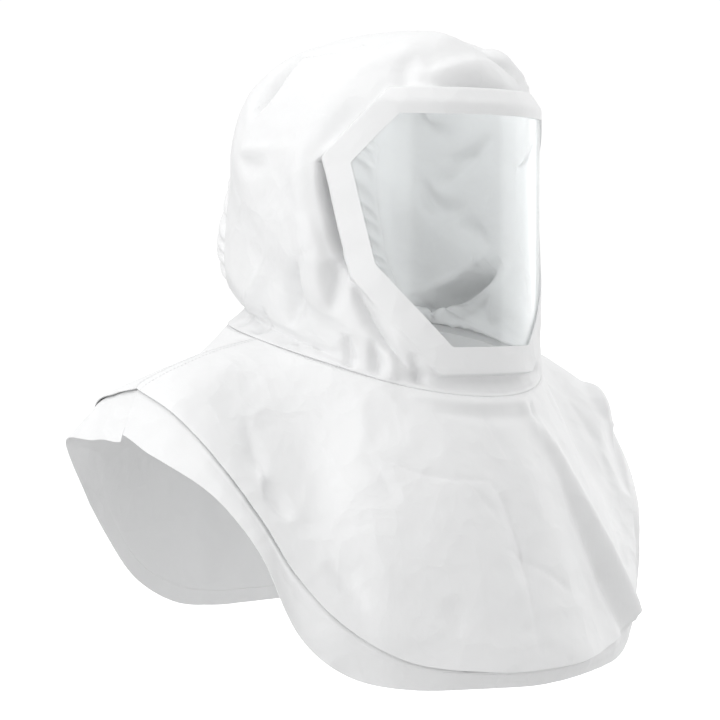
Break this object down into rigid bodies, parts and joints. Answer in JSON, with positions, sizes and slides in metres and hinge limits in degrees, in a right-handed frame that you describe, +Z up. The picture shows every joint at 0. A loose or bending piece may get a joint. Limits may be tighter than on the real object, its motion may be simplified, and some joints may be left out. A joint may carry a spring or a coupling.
{
  "type": "respirator hood",
  "caption": "White loose-fitting respirator hood with a wide clear visor, a gathered back and neck, and a double bib that drapes over the shoulders, chest and back.",
  "frame": {"origin": "the point inside the crown that sits on the top of the wearer's head", "axes": "+Z up, the visor faces -Y, the wearer's left is +X"},
  "size_m": [0.5134, 0.3621, 0.5244],
  "materials": {
    "hood_fabric": "satin coated nonwoven",
    "bib_fabric": "satin coated nonwoven",
    "visor_sheet": "clear gloss"
  },
  "bodies": {
    "root": {"hood_main": "hood_fabric", "back_panel": "hood_fabric", "visor": "visor_sheet", "outer_bib_front": "bib_fabric", "outer_bib_back": "bib_fabric", "inner_bib_front": "bib_fabric", "inner_bib_back": "bib_fabric"}
  },
  "joints": []
}
